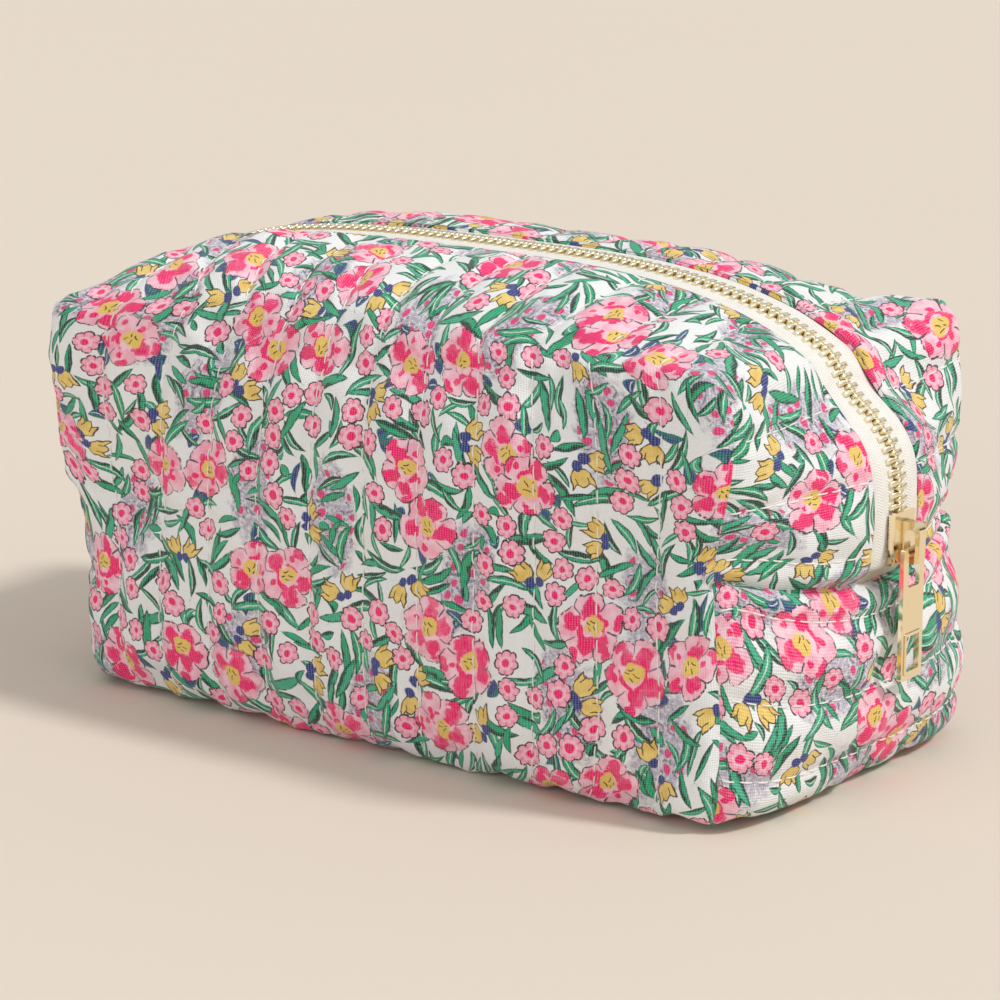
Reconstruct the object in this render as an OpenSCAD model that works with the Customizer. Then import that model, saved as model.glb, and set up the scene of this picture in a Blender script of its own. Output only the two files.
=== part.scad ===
// Boxy quilted makeup bag with a metal zip over the top.
// X runs along the bag, Y from the front to the back, Z up from the floor.

/* [Bag] */
// Half of the stuffed length, end face to end face
half_len = 131; // [90:0.5:160]
// Half of the stuffed width, front face to back face
half_wid = 66; // [45:0.5:90]
// Height of the seam across each end face above the floor
seam_z = 58; // [40:0.5:80]
// Rise from the end seam to the crown under the zip
crown = 77.5; // [50:0.5:100]
// Depth from the end seam to the sag under the floor line
keel = 66.4; // [45:0.1:90]
// Roundness power of the faces (low is rounder)
face_n = 2.8; // [2:0.1:5]
// Extra power towards the floor, which flattens the base
base_n = 3; // [0:0.5:6]
// Power at the box seams, halfway up
corner_n = 4.9; // [3:0.1:8]
// Extra power at the eight corners, which makes the ears
ear_n = 2.9; // [0:0.1:5]
// Share by which the ears hang below the crown
ear_drop = 0.07; // [0:0.005:0.2]
// Further share that the two left ears sit lower
left_drop = 0.08; // [0:0.005:0.2]
// How much squarer each end turns into the top
shoulder_n = 0.5; // [0:0.1:2]
// Further squareness of the left shoulder
left_n = 0.65; // [0:0.1:2]
// How far the seam draws in the middle of each end
end_tuck = 1.2; // [0:0.1:5]

/* [Quilt] */
// Thickness of the printed cotton
cloth_t = 0.8; // [0.3:0.1:2]
// Thickness of the wadding
wadding_t = 2; // [1:0.1:5]
// Thickness of the lining
lining_t = 0.8; // [0.3:0.1:2]
// Gap between two layers
layer_gap = 0.1; // [0.05:0.05:0.5]

/* [Zip] */
// Half width of the tape that shows between the cloth edges
mouth_half = 10; // [6:0.5:14]
// Half width of the tape, up to the cloth edge
tape_half = 9.6; // [6:0.1:14]
// Thickness of the tape
tape_t = 0.6; // [0.4:0.1:1]
// Spacing of the teeth on one side
tooth_pitch = 3.2; // [2:0.1:4]
// Width of a tooth along the zip
tooth_w = 1.2; // [0.8:0.1:1.6]
// Thickness of a tooth
tooth_t = 2.2; // [1.5:0.1:3]
// Reach of a tooth from the centre line to its heel
tooth_reach = 3.1; // [2:0.1:4]

/* [Slider] */
// Length of the slider along the zip
slider_len = 14; // [10:0.5:18]
// Half width of the slider plates at the narrow end
slider_half = 4.9; // [4:0.1:7]
// Thickness of a slider plate
plate_t = 1.3; // [0.8:0.1:2]
// Width of the bridge
bridge_w = 3.2; // [2:0.1:4]
// Height of the bridge above the plate
bridge_h = 5.4; // [4:0.1:8]
// Length of the bridge
bridge_len = 11.5; // [8:0.5:14]

/* [Pull tab] */
// Length of the pull tab
tab_len = 36; // [25:1:50]
// Width of the pull tab
tab_w = 10.6; // [8:0.1:14]
// Thickness of the pull tab
tab_t = 1.3; // [1:0.1:2.5]
// Width of the upper slot
slot_w = 5.8; // [4:0.1:8]
// Length of the upper slot
slot_len = 9; // [6:0.5:12]
// Width of the lower window
window_w = 6.4; // [4:0.1:8]
// Length of the lower window
window_len = 9.6; // [6:0.1:12]

/* [View] */
// Sub-part to draw

/* [Hidden] */
// Depths of the layers below the outer surface
cloth_d = [0, cloth_t];
wadding_d = [cloth_t + layer_gap, cloth_t + layer_gap + wadding_t];
lining_d = [wadding_d[1] + layer_gap, wadding_d[1] + layer_gap + lining_t];
tape_d = [cloth_t + 0.3, cloth_t + 0.3 + tape_t];
chain_d = (tape_d[0] + tape_d[1]) / 2;
// Cells of the surface grids
n_len = 12;
n_end = 4;
n_half = 3;
// Cube heights between which the tuck of the ends fades out
tuck_z = [0.3, 0.65];
// Zip ends, measured up from the end seam
right_cut = 1.4;
cut_slope = 0.62;
left_cut = 15;
teeth_right = 11.4;
teeth_left = 15.2;
end_chain = [3.6, 11.4];
// Slider frame: u outwards, v up the end face, both from this point
slider_x = half_len - end_tuck - chain_d;
slider_z = seam_z + 12.5;
plate_u = 1.6;
under_u = -3;
tab_u = 5.4;
tab_v = -3.2;
bridge_v = -1.2;
// Colours
cotton = [0.95, 0.86, 0.84];
batting = [0.97, 0.96, 0.93];
cream = [0.94, 0.91, 0.85];
tape_white = [0.95, 0.92, 0.86];
pale_gold = [0.87, 0.76, 0.52];
bright_gold = [0.90, 0.72, 0.36];

// Sinusoid-like spacing that crowds the cells towards the seams
function crowd(s) = s * (1.25 - 0.25 * s * s);

// Smooth step from 0 at a to 1 at b
function ease(a, b, v) = let (t = min(max((v - a) / (b - a), 0), 1)) t * t * (3 - 2 * t);

// Roundness power in one direction of the cube, where left is 1 at the left end
function power(x, y, z, up, left) =
    let (e = pow(x * y, 4),
         sharp = corner_n + ear_n * z * z,
         turn = shoulder_n * ease(0.68, 0.97, z) + left_n * left * z,
         soft = up ? face_n - 0.3 * z + 0.6 * z * y + turn : face_n + base_n * z)
    soft + (sharp - soft) * e;

// Scale that carries a point of the unit cube on to the stuffed bag
function swell(b) =
    let (x = abs(b[0]), y = abs(b[1]), z = abs(b[2]), left = ease(0.2, -1, b[0]),
         n = power(x, y, z, b[2] >= 0, left))
    pow(pow(x, n) + pow(y, n) + pow(z, n), -1 / n);

// How far the middle of each end is drawn in around its seam
function tuck(b) =
    let (z = min(max((abs(b[2]) - tuck_z[0]) / (tuck_z[1] - tuck_z[0]), 0), 1))
    abs(b[0]) > 0.999 ? end_tuck * (1 - b[1] * b[1]) * (1 - z * z * (3 - 2 * z)) : 0;

// Point of the bag's skin at depth d for a point of the unit cube
function skin(b, d) =
    let (f = swell(b),
         drop = ear_drop + left_drop * ease(0.2, -1, b[0]),
         ear = 1 - drop * pow(abs(b[0] * b[1] * b[2]), 1.5),
         z = b[2] >= 0 ? (crown - d) * b[2] * f * ear : (keel - d) * b[2] * f)
    [(half_len - d) * b[0] * f - sign(b[0]) * tuck(b), (half_wid - d) * b[1] * f,
     max(seam_z + z, d)];

// Cube coordinate across the bag that lies a given distance from the centre plane
function across(x, z, y) = y / (half_wid * swell([x, 0, z]));

// Cube path [x, z] from the right end seam over the top to the left end seam
over_top = concat(
    [for (i = [0:n_end - 1]) [1, crowd(i / n_end)]],
    [for (i = [0:n_len]) [crowd(1 - 2 * i / n_len), 1]],
    [for (i = [n_end - 1:-1:0]) [-1, crowd(i / n_end)]]
);
// Cube path from the right end seam under the base to the left end seam
under_base = [for (p = over_top) [p[0], -p[1]]];

// Closed sheet between two grids of points, the first one outside
module sheet(outer, inner, flip = false) {
    rows = len(outer);
    cols = len(outer[0]);
    count = rows * cols;
    points = concat([for (r = outer) each r], [for (r = inner) each r]);
    skins = [for (i = [0:rows - 2], j = [0:cols - 2])
        let (a = i * cols + j, b = a + 1, c = a + cols, d = c + 1)
        each [[a, c, b], [b, c, d], [a + count, b + count, c + count],
              [b + count, d + count, c + count]]];
    ends = [for (j = [0:cols - 2])
        let (a = j, b = j + 1, c = (rows - 1) * cols + j, d = c + 1)
        each [[a, b, a + count], [b, b + count, a + count],
              [c, c + count, d], [d, c + count, d + count]]];
    sides = [for (i = [0:rows - 2])
        let (a = i * cols, b = a + cols, c = i * cols + cols - 1, d = c + cols)
        each [[a, a + count, b], [b, a + count, b + count],
              [c, d, c + count], [d, d + count, c + count]]];
    faces = concat(skins, ends, sides);
    polyhedron(points, flip ? [for (f = faces) [f[0], f[2], f[1]]] : faces, convexity = 6);
}

// Front or rear face (side is -1 in front, 1 behind) between two depths
function face_grid(side, d) =
    [for (i = [-n_end:n_end]) [for (j = [0:n_len])
        skin([crowd(2 * j / n_len - 1), side, crowd(i / n_end)], d)]];
module face_sheet(side, depth) {
    sheet(face_grid(side, depth[0]), face_grid(side, depth[1]), side > 0);
}

// Top strip on one side, with its two ends, from the fold towards the zip.
// The edge is the share of the last cell that it covers.
function strip_grid(side, edge, d) =
    [for (p = over_top) let (t = across(p[0], p[1], mouth_half))
        [for (j = [0:n_half])
            let (a = skin([p[0], side * (1 - (1 - t) * (j - 1) / n_half), p[1]], d),
                 b = skin([p[0], side * (1 - (1 - t) * j / n_half), p[1]], d))
            j == n_half ? a + (b - a) * edge : b]];
module strip_sheet(side, edge, depth) {
    sheet(strip_grid(side, edge, depth[0]), strip_grid(side, edge, depth[1]), side < 0);
}

// Band across the full width along a cube path
function band_grid(path, d) =
    [for (p = path) [for (j = [0:2 * n_half]) skin([p[0], j / n_half - 1, p[1]], d)]];
module band_sheet(path, depth) {
    sheet(band_grid(path, depth[0]), band_grid(path, depth[1]), false);
}

// Height above the end seam as a cube coordinate
function cube_z(h) = h / crown;

// Half of the zip tape that opens, with slanted lower ends
function tape_grid(side, d) =
    [for (k = [0:2 * n_end + n_len]) [for (y = [tape_half, (tape_half + 1) / 2, 1])
        let (low = cube_z(right_cut + cut_slope * y),
             left = cube_z(left_cut),
             p = k <= n_end ? [1, low + (1 - low) * k / n_end]
               : k <= n_end + n_len ? over_top[k]
               : [-1, left + (1 - left) * (2 * n_end + n_len - k) / n_end])
        skin([p[0], side * across(p[0], p[1], y), p[1]], d)]];
module half_tape(side) {
    sheet(tape_grid(side, tape_d[0]), tape_grid(side, tape_d[1]), side < 0);
}

// Centre line of the teeth as fine points, and its running length
line_cube = concat(
    [for (i = [0:29]) [1, i / 30]],
    [for (i = [0:120]) [1 - i / 60, 1]],
    [for (i = [29:-1:0]) [-1, i / 30]]
);
line = [for (p = line_cube) let (q = skin([p[0], 0, p[1]], chain_d)) [q[0], q[2]]];
steps = [for (i = [1:len(line) - 1]) norm(line[i] - line[i - 1])];
run = [for (i = 0, s = 0; i < len(line); s = s + (i < len(steps) ? steps[i] : 0), i = i + 1) s];
run_x = [for (i = [0:len(line) - 1]) [run[i], line[i][0]]];
run_z = [for (i = [0:len(line) - 1]) [run[i], line[i][1]]];
total = run[len(run) - 1];

// Moves its children on to the centre line, x outwards and z along the zip
module on_line(s) {
    ahead = [lookup(s + 0.6, run_x), lookup(s + 0.6, run_z)];
    behind = [lookup(s - 0.6, run_x), lookup(s - 0.6, run_z)];
    turn = atan2(ahead[1] - behind[1], ahead[0] - behind[0]) - 90;
    translate([lookup(s, run_x), 0, lookup(s, run_z)]) rotate([0, -turn, 0]) children();
}

// One tooth that bites from the given side
module tooth(side) {
    rotate([90, 0, 90])
        translate([0, 0, -tooth_t / 2])
            linear_extrude(tooth_t)
                polygon([
                    [side * tooth_reach, -tooth_w / 2], [side * 1.3, -tooth_w / 2],
                    [side * 0.9, -tooth_w * 0.34], [side * 0.3, -tooth_w * 0.34],
                    [side * 0.1, -tooth_w / 2], [-side * 0.35, -tooth_w / 2],
                    [-side * 0.6, 0], [-side * 0.35, tooth_w / 2],
                    [side * 0.1, tooth_w / 2], [side * 0.3, tooth_w * 0.34],
                    [side * 0.9, tooth_w * 0.34], [side * 1.3, tooth_w / 2],
                    [side * tooth_reach, tooth_w / 2]
                ]);
}

// Teeth of one side between two running lengths
module tooth_row(side, from, to) {
    first = ceil(from / tooth_pitch);
    for (k = [first:floor(to / tooth_pitch)]) {
        s = (k + (side < 0 ? 0 : 0.5)) * tooth_pitch;
        if (s <= to) on_line(s) tooth(side);
    }
}

module front_panel() {
    color(cotton) face_sheet(-1, cloth_d);
}
module rear_panel() {
    color(cotton) face_sheet(1, cloth_d);
}
module lower_band() {
    color(cotton) band_sheet(under_base, cloth_d);
}
module front_upper_band() {
    color(cotton) strip_sheet(-1, 1, cloth_d);
}
module rear_upper_band() {
    color(cotton) strip_sheet(1, 1, cloth_d);
}
module front_wadding() {
    color(batting) face_sheet(-1, wadding_d);
}
module rear_wadding() {
    color(batting) face_sheet(1, wadding_d);
}
module lower_wadding() {
    color(batting) band_sheet(under_base, wadding_d);
}
module front_upper_wadding() {
    color(batting) strip_sheet(-1, 0.6, wadding_d);
}
module rear_upper_wadding() {
    color(batting) strip_sheet(1, 0.6, wadding_d);
}
module front_lining() {
    color(cream) face_sheet(-1, lining_d);
}
module rear_lining() {
    color(cream) face_sheet(1, lining_d);
}
module bottom_lining() {
    color(cream) band_sheet([for (i = [n_end:n_end + n_len]) under_base[i]], lining_d);
}
module right_end_lining() {
    color(cream) band_sheet([for (i = [0:n_end]) under_base[i]], lining_d);
}
module left_end_lining() {
    color(cream)
        band_sheet([for (i = [n_end + n_len:2 * n_end + n_len]) under_base[i]], lining_d);
}
module front_upper_lining() {
    color(cream) strip_sheet(-1, 1, lining_d);
}
module rear_upper_lining() {
    color(cream) strip_sheet(1, 1, lining_d);
}

module front_zip_tape() {
    color(tape_white) half_tape(-1);
}
module rear_zip_tape() {
    color(tape_white) half_tape(1);
}
module front_zip_teeth() {
    color(pale_gold) tooth_row(-1, teeth_right, total - teeth_left);
}
module rear_zip_teeth() {
    color(pale_gold) tooth_row(1, teeth_right, total - teeth_left);
}

// Metal clip on the tape edge that stops the slider
module top_stop(side) {
    on_line(5.9)
        translate([-tooth_t / 2, side > 0 ? 1.6 : -3.2, -1.25])
            cube([tooth_t, 1.6, 2.5]);
}
module front_top_stop() {
    color(bright_gold) top_stop(-1);
}
module rear_top_stop() {
    color(bright_gold) top_stop(1);
}

// Last stretch of the tape at the left end, which stays with the bag
module left_tape_end() {
    low = cube_z(0.4);
    high = cube_z(end_chain[1]);
    span = across(-1, 0, mouth_half - 0.6);
    grid = [for (d = tape_d) [for (z = [low, high])
        [for (j = [-2:2]) skin([-1, span * j / 2, z], d)]]];
    difference() {
        color(tape_white) sheet(grid[0], grid[1], true);
        // Slot along the middle, where the teeth sit
        color(tape_white)
            translate([-half_len - 1, -tooth_reach - 0.2, seam_z - 1])
                cube([8, 2 * tooth_reach + 0.4, end_chain[1] + 3]);
    }
}

module left_teeth_end() {
    color(pale_gold) {
        tooth_row(-1, total - end_chain[1], total - end_chain[0]);
        tooth_row(1, total - end_chain[1], total - end_chain[0]);
    }
}

// Metal clamp that joins both tapes under the last teeth
module bottom_stop() {
    color(bright_gold)
        on_line(total - 1.7)
            translate([-tooth_t / 2, -2.9, -1.1])
                cube([tooth_t, 5.8, 2.2]);
}

// Moves its children into the slider frame
module in_slider() {
    translate([slider_x, 0, slider_z]) children();
}

// Outline of the slider plates: square narrow end up, round wide end down
module plate_outline() {
    top = slider_len / 2;
    w = slider_half;
    polygon([
        [-w + 0.5, top], [w - 0.5, top], [w, top - 0.5], [w + 0.2, 2], [w + 0.7, -1.5],
        [w + 0.5, -3.6], [w - 0.4, -5.4], [w - 1.9, -6.6], [w - 3.2, -top],
        [-w + 3.2, -top], [-w + 1.9, -6.6], [-w + 0.4, -5.4], [-w - 0.5, -3.6],
        [-w - 0.7, -1.5], [-w - 0.2, 2], [-w, top - 0.5]
    ]);
}

// Plate that stands on the y-z plane with its thickness along x
module upright(u, t) {
    translate([u, 0, 0]) rotate([90, 0, 90]) linear_extrude(t) children();
}

module slider_body() {
    flange = 1;
    flange_low = -3;
    flange_len = slider_len / 2 - flange_low - 0.5;
    color(bright_gold)
        in_slider() {
            upright(plate_u, plate_t) plate_outline();
            upright(under_u - plate_t, plate_t) plate_outline();
            // Turned edges, with the slot for the tape between them
            for (side = [0, 1]) mirror([0, side, 0]) {
                translate([0.85, slider_half - flange, flange_low])
                    cube([plate_u - 0.85 + 0.2, flange, flange_len]);
                translate([under_u - 0.2, slider_half - flange, flange_low])
                    cube([1.25, flange, flange_len]);
            }
            // Post that parts the teeth
            upright(under_u - 0.2, plate_u - under_u + 0.4)
                polygon([[0, -2.2], [0.7, -4.4], [0.5, -5.9], [-0.5, -5.9], [-0.7, -4.4]]);
        }
}

// Arch over the slider with an oval eye for the pull tab
module slider_bridge() {
    base = plate_u + plate_t;
    half = bridge_len / 2;
    round_r = 2.6;
    eye_r = 1.65;
    eye_half = 2;
    color(bright_gold)
        in_slider()
            translate([0, bridge_w / 2, bridge_v])
                rotate([90, 0, 0])
                    linear_extrude(bridge_w)
                        difference() {
                            union() {
                                translate([base, -half])
                                    square([bridge_h - round_r, bridge_len]);
                                translate([base, -half + round_r])
                                    square([bridge_h, bridge_len - 2 * round_r]);
                                for (v = [-1, 1])
                                    translate([base + bridge_h - round_r,
                                               v * (half - round_r)])
                                        circle(r = round_r, $fn = 48);
                            }
                            for (v = [-1, 1])
                                translate([tab_u, v * eye_half]) circle(r = eye_r, $fn = 48);
                            translate([tab_u - eye_r, -eye_half])
                                square([2 * eye_r, 2 * eye_half]);
                        }
}

// Rectangle with round corners, centred on x, that hangs down from a height
module plate(w, l, top, r) {
    translate([-w / 2 + r, top - l]) square([w - 2 * r, l]);
    translate([-w / 2, top - l + r]) square([w, l - 2 * r]);
    for (x = [-1, 1], y = [top - r, top - l + r])
        translate([x * (w / 2 - r), y]) circle(r = r, $fn = 32);
}

module pull_tab() {
    bar = 0.8;
    top = tab_v + bar;
    slot_top = tab_v - bar;
    window_top = top - tab_len + 2.4 + window_len;
    rim = 0.9;
    color(bright_gold)
        in_slider() {
            upright(tab_u - tab_t / 2, tab_t)
                difference() {
                    plate(tab_w, tab_len, top, 0.7);
                    plate(slot_w, slot_len, slot_top, 0.8);
                    plate(window_w, window_len, window_top, 0.4);
                }
            // Raised rim around the lower window
            upright(tab_u + tab_t / 2 - 0.1, 0.4)
                difference() {
                    plate(window_w + 2 * rim, window_len + 2 * rim, window_top + rim, 0.7);
                    plate(window_w, window_len, window_top, 0.4);
                }
        }
}

front_panel();
rear_panel();
lower_band();
front_upper_band();
rear_upper_band();
front_wadding();
rear_wadding();
lower_wadding();
front_upper_wadding();
rear_upper_wadding();
front_lining();
rear_lining();
bottom_lining();
right_end_lining();
left_end_lining();
front_upper_lining();
rear_upper_lining();
front_zip_tape();
rear_zip_tape();
front_zip_teeth();
rear_zip_teeth();
front_top_stop();
rear_top_stop();
left_tape_end();
left_teeth_end();
bottom_stop();
slider_body();
slider_bridge();
pull_tab();
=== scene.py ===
import math

import bmesh
import bpy
import numpy as np
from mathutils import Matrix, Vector


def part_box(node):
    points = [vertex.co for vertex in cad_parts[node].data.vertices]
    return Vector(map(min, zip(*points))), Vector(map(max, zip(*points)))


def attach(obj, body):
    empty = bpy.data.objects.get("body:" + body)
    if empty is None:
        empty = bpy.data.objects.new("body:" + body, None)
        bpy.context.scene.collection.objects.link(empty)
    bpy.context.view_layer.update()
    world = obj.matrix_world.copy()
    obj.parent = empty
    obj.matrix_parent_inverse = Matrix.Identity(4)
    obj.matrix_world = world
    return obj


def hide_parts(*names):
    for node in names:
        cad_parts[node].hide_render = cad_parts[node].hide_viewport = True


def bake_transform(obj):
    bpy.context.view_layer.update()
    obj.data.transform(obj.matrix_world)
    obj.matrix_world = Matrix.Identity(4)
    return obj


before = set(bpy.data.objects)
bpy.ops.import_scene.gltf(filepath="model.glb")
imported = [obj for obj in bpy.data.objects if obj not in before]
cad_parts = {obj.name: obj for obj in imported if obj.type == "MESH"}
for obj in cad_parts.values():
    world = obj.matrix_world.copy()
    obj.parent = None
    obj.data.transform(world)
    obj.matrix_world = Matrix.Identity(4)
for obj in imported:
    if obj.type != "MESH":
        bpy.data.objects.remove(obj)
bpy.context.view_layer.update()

rng = np.random.default_rng(11)

# ---- the bag's stuffed shape, in mm
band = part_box("lower_band")
TUCK = 1.2
HALF_LEN = band[1][0] * 1000 + TUCK
SEAM_Z = band[1][2] * 1000
HALF_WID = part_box("rear_panel")[1][1] * 1000
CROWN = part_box("rear_upper_band")[1][2] * 1000 - SEAM_Z + 0.3
KEEL = SEAM_Z * 1.145
MOUTH = 11.6  # from the middle of the zip to the cloth's edge
BASE_SLACK = 0.93  # flat cloth across the base, as a share of the bag's width
G = 2 * HALF_WID * BASE_SLACK
HINGE_Z = 58  # height of the lines that the two halves fold about
CHAIN_D = 1.4  # depth of the zip's chain below the skin


def power(x, y, z, up, left):
    """Roundness power; x, y and z are absolute cube coordinates and left is 1 at the left end."""
    turn = 0.5 * smooth(0.68, 0.97, z) + 0.65 * left * z
    soft = np.where(up, 2.8 - 0.3 * z + 0.6 * z * y + turn, 2.8 + 3.0 * z)
    return soft + (4.9 + 2.9 * z * z - soft) * (x * y) ** 4


def skin(b, d=0.0):
    """Point of the bag's skin, d mm below its surface, for points of the unit cube."""
    b = np.asarray(b, float)
    x, y, z = np.abs(b[..., 0]), np.abs(b[..., 1]), np.abs(b[..., 2])
    up, left = b[..., 2] >= 0, smooth(0.2, -1.0, b[..., 0])
    n = power(x, y, z, up, left)
    f = (x**n + y**n + z**n) ** (-1 / n)
    ear = 1 - (0.07 + 0.08 * left) * (x * y * z) ** 1.5
    h = np.where(up, (CROWN - d) * b[..., 2] * f * ear, (KEEL - d) * b[..., 2] * f)
    tuck = np.where(x > 0.999, TUCK * (1 - y * y) * (1 - smooth(0.3, 0.65, z)), 0)
    return np.stack(
        [
            (HALF_LEN - d) * b[..., 0] * f - np.sign(b[..., 0]) * tuck,
            (HALF_WID - d) * b[..., 1] * f,
            np.maximum(SEAM_Z + h, d),
        ],
        -1,
    )


def smooth(a, b, x):
    t = np.clip((np.asarray(x, float) - a) / (b - a), 0, 1)
    return t * t * (3 - 2 * t)


# Where the stuffing pushes or the cloth slouches: centre, reach and shift in mm
SLOUCH = [
    ((127, -10, 93), (16, 44, 17), (3.6, 0, 1.2)),
    ((122, -66, 62), (30, 26, 30), (-3.4, -2.6, 0)),
    ((120, -64, 4), (34, 26, 32), (-2.4, -2.2, 0)),
    ((122, -68, 56), (44, 22, 22), (0, 0, 4.5)),
    ((131, 0, 57), (26, 120, 15), (0, 0, 3.6)),
    ((118, 62, 112), (22, 18, 22), (-2.0, 0, 4.0)),
    ((118, 66, 60), (26, 22, 30), (-1.6, 0, 0)),
    ((-118, -60, 86), (26, 24, 27), (-7.5, 0, 0)),
    ((-118, -60, 62), (26, 24, 13), (-8.5, 0, 0)),
    ((112, -50, 118), (7, 7, 9), (-1.0, 0.6, -3.4)),
]


def lean(p):
    """The slack of this bag.

    Its far lower corners draw in, its far ears reach out and the stuffing pushes here and there.
    """
    q = np.array(p, float)
    s = smooth(-70, -HALF_LEN, q[..., 0])
    rim = smooth(0.55, 1.0, np.abs(q[..., 1]) / (HALF_WID * 0.9))
    q[..., 0] += s * (7.5 * (1 - q[..., 2] / (2 * SEAM_Z)) - 6.0 * rim * smooth(60, 118, q[..., 2]))
    for c, r, v in SLOUCH:
        g = np.exp(-(((p - np.array(c)) / np.array(r)) ** 2).sum(-1))
        q += g[..., None] * np.array(v, float) * np.minimum(1, p[..., 2:3] / 6 + 0.0 if v[2] else 1)
    return q


def across(x, z, y):
    """Cube coordinate that lies y mm from the centre plane."""
    xx, zz = np.abs(x), np.abs(z)
    n = power(xx, 0 * xx, zz, z >= 0, smooth(0.2, -1.0, x))
    return y / (HALF_WID * (xx**n + zz**n) ** (-1 / n))


def along(path):
    """Distance along the points of path, from nought."""
    return np.concatenate([[0], np.cumsum(np.linalg.norm(np.diff(path, axis=0), axis=1))])


def at_run(s, run, path):
    """What path holds at the distances s along it, run being along(path)."""
    return np.stack([np.interp(s, run, path[:, k]) for k in range(3)], -1)


def unit(v):
    return v / np.maximum(np.linalg.norm(v, axis=1, keepdims=True), 1e-9)


def even(path, n, breaks=None):
    """n + 1 parameters from 0 to 1 that space path(t) evenly, and its length."""
    t = np.linspace(0, 1, 400)
    run = along(path(t))
    want = np.linspace(0, 1, n + 1) if breaks is None else np.asarray(breaks)
    return np.interp(want * run[-1], run, t), run[-1]


def steps(marks, cells):
    """Fractions that pass through marks with the given number of cells between them."""
    out = [0.0]
    for a, b, n in zip(marks[:-1], marks[1:], cells, strict=True):
        out += list(a + (b - a) * np.arange(1, n + 1) / n)
    return np.array(out)


NX, NY = 60, 14
one = np.ones(400)
COL_X, LEN_X = even(lambda t: skin(np.stack([2 * t - 1, -one, 0 * t], -1)), NX)
COL_X = 2 * COL_X - 1
UP_STEPS = steps([0, 0.133, 0.445, 0.757, 1], [2, 5, 5, 4])
UP_Z, LEN_UP = even(lambda t: skin(np.stack([0 * t, -one, t], -1)), 0, UP_STEPS)
DOWN_STEPS = steps([0, 0.138, 0.46, 0.783, 1], [2, 5, 5, 3])
DOWN_Z, LEN_DOWN = even(lambda t: skin(np.stack([0 * t, -one, -t], -1)), 0, DOWN_STEPS)
top_edge = float(across(np.array([0.0]), np.array([1.0]), MOUTH)[0])
TOP_Y, LEN_TOP = even(lambda t: skin(np.stack([0 * t, -1 + (1 - top_edge) * t, one], -1)), NY)
LINES_X = set(range(5, NX, 5))
LINES_UP = {2, 7, 12}
LINES_DOWN = {2, 7, 12}

# ---- quilt grids: patches welded by their cube points
patches = []


def patch(cube, uv, region, line_rows=(), line_cols=(), seam_rows=(), seam_cols=()):
    """Adds one grid of cloth: cube points, flat millimetres, and the rows and columns that are sewn."""
    sewn = [set(k) for k in (line_rows, line_cols, seam_rows, seam_cols)]
    patches.append((np.asarray(cube, float), np.asarray(uv, float), region, *sewn))


N_UP = len(UP_Z) - 1
HALF_U = LEN_X / 2
COL_U = np.linspace(-HALF_U, HALF_U, NX + 1)
for side, tag in ((-1, "front"), (1, "rear")):
    # Tall face, from the base fold up
    qs = np.concatenate([-DOWN_Z[::-1], UP_Z[1:]])
    hs = np.concatenate([LEN_DOWN - DOWN_STEPS[::-1] * LEN_DOWN, LEN_DOWN + UP_STEPS[1:] * LEN_UP])
    cube = [[[p, side, q] for p in COL_X] for q in qs]
    v = hs if side < 0 else -hs - G
    patch(cube, [[[u, vv] for u in COL_U] for vv in v], tag, (), LINES_X, (), (0, NX))
    # Top strip
    v = LEN_DOWN + LEN_UP + LEN_TOP * np.arange(NY + 1) / NY
    v = v if side < 0 else -v - G
    lip = across(COL_X, np.ones(NX + 1), MOUTH)
    cube = [[[p, -side * (-1 + (1 - e) * t), 1] for p, e in zip(COL_X, lip, strict=True)] for t in TOP_Y]
    patch(cube, [[[u, vv] for u in COL_U] for vv in v], tag, (), LINES_X, (), ())
    # Upper halves of the two ends
    for end in (1, -1):
        lip = across(np.full(N_UP + 1, float(end)), UP_Z, MOUTH)
        cube = [[[end, -side * (-1 + (1 - e) * t), q] for t in TOP_Y] for q, e in zip(UP_Z, lip, strict=True)]
        u = end * (HALF_U + (1 - UP_STEPS) * LEN_UP)
        patch(cube, [[[uu, vv] for vv in v] for uu in u], tag, LINES_UP, (), (0,), (0,))
base_lip = float(across(np.array([1.0]), np.array([0.0]), MOUTH)[0])
front_y = -1 + (1 - base_lip) * TOP_Y
BASE_Y = np.concatenate([front_y, np.linspace(-base_lip, base_lip, 6)[1:-1], -front_y[::-1]])
girth = -(BASE_Y + 1) * HALF_WID * BASE_SLACK
for end in (1, -1):
    cube = [[[end, t, -q] for t in BASE_Y] for q in DOWN_Z]
    u = end * (HALF_U + DOWN_STEPS * LEN_DOWN)
    patch(cube, [[[uu, g] for g in girth] for uu in u], "base", LINES_DOWN, (), (0,), (0, len(BASE_Y) - 1))
cube = [[[p, t, -1] for p in COL_X] for t in BASE_Y]
patch(cube, [[[u, g] for u in COL_U] for g in girth], "base", (), LINES_X, (), ())

index, cubes, faces, loops_uv, region = {}, [], [], [], []
stitched, seamed = set(), set()
chains = []  # stitch lines, as lists of (vertex, region)
for cube, uv, tag, lrows, lcols, srows, scols in patches:
    ids = np.zeros(cube.shape[:2], int)
    for i in range(cube.shape[0]):
        for j in range(cube.shape[1]):
            key = tuple(np.round(cube[i, j], 5) + 0.0)
            if key not in index:
                index[key] = len(cubes)
                cubes.append(cube[i, j])
            ids[i, j] = index[key]
    for i in lrows:
        stitched.update(ids[i])
        chains.append((list(ids[i]), tag))
    for j in lcols:
        stitched.update(ids[:, j])
        chains.append((list(ids[:, j]), tag))
    for i in srows:
        seamed.update(ids[i])
    for j in scols:
        seamed.update(ids[:, j])
    for i in range(cube.shape[0] - 1):
        for j in range(cube.shape[1] - 1):
            q = [(i, j), (i, j + 1), (i + 1, j + 1), (i + 1, j)]
            faces.append([ids[a] for a in q])
            loops_uv.append([uv[a] for a in q])
            region.append(tag)
cubes = np.array(cubes)
faces = np.array(faces)
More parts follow.
